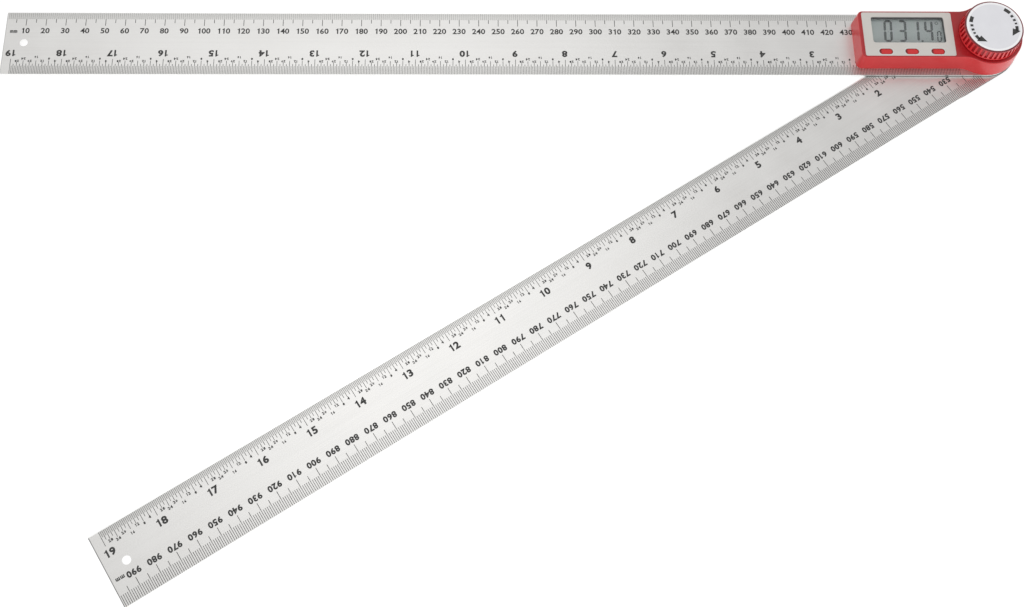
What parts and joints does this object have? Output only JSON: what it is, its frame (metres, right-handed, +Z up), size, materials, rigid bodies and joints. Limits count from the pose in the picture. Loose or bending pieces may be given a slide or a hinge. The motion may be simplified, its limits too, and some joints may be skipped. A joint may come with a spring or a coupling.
{
  "type": "digital angle finder",
  "caption": "Digital angle finder: long flat rule arms hinged under a round boss, a red housing with a display and buttons on the upper arm, and a ribbed lock knob over the pivot.",
  "frame": {"origin": "pivot axis at the underside of the swing arm, on the flush head of the pivot stud", "axes": "+Z up through the knob, -X along the fixed arm to its free end, +Y across the fixed arm away from the swing arm"},
  "size_m": [0.518, 0.298, 0.0197],
  "materials": {
    "blade": "satin, brushed along the blade",
    "red_plastic": "glossy moulding",
    "faceplate": "satin",
    "disc": "satin",
    "black_plastic": "fine grain",
    "window": "clear",
    "display": "clear over a grey-green reflector",
    "rubber": "matt",
    "laminate": "solder mask",
    "ribbon": "film",
    "steel": "nickel plated",
    "brass": "turned"
  },
  "bodies": {
    "fixed_arm": {"fixed_blade": "blade", "pivot_bush": "brass", "friction_washer": "black_plastic", "housing_shell": "red_plastic", "housing_screws": "steel", "faceplate": "faceplate", "display_bezel": "black_plastic", "display_window": "window", "display_cell": "display", "contact_strips": "rubber", "circuit_board": "laminate", "driver_chip": "black_plastic", "quartz_crystal": "steel", "board_screws": "steel", "keypad_mat": "rubber", "battery_holder": "black_plastic", "coin_cell": "steel", "cell_contact": "brass", "side_contact": "brass", "encoder_stator": "laminate", "stator_screws": "steel", "sensor_ribbon": "ribbon", "thrust_washer": "steel"},
    "swing_arm": {"swing_blade": "blade", "pivot_stud": "steel", "rotor_hub": "brass", "encoder_rotor": "laminate"},
    "lock_knob": {"lock_knob": "red_plastic", "knob_insert": "brass", "knob_disc": "disc"},
    "button_left": {"button_left": "red_plastic"},
    "button_middle": {"button_middle": "red_plastic"},
    "button_right": {"button_right": "red_plastic"},
    "battery_cap": {"battery_cap": "black_plastic"}
  },
  "joints": [
    {"name": "arm_swing", "type": "hinge", "parent": "fixed_arm", "child": "swing_arm", "pos_m": [0, 0, 0], "axis": [0, 0, 1], "continuous": true},
    {"name": "knob_turn", "type": "hinge", "parent": "swing_arm", "child": "lock_knob", "pos_m": [0, 0, 0.0165], "axis": [0, 0, 1], "range_deg": [0, 120]},
    {"name": "button_left_press", "type": "slide", "parent": "fixed_arm", "child": "button_left", "axis": [0, 0, -1], "range_m": [0, 0.0005], "stiffness_N_per_m": 1500, "springref_m": -0.0002},
    {"name": "button_middle_press", "type": "slide", "parent": "fixed_arm", "child": "button_middle", "axis": [0, 0, -1], "range_m": [0, 0.0005], "stiffness_N_per_m": 1500, "springref_m": -0.0002},
    {"name": "button_right_press", "type": "slide", "parent": "fixed_arm", "child": "button_right", "axis": [0, 0, -1], "range_m": [0, 0.0005], "stiffness_N_per_m": 1500, "springref_m": -0.0002},
    {"name": "battery_cap_turn", "type": "hinge", "parent": "fixed_arm", "child": "battery_cap", "pos_m": [-0.0408, 0, 0.0022], "axis": [0, 0, -1], "range_deg": [0, 50]}
  ]
}
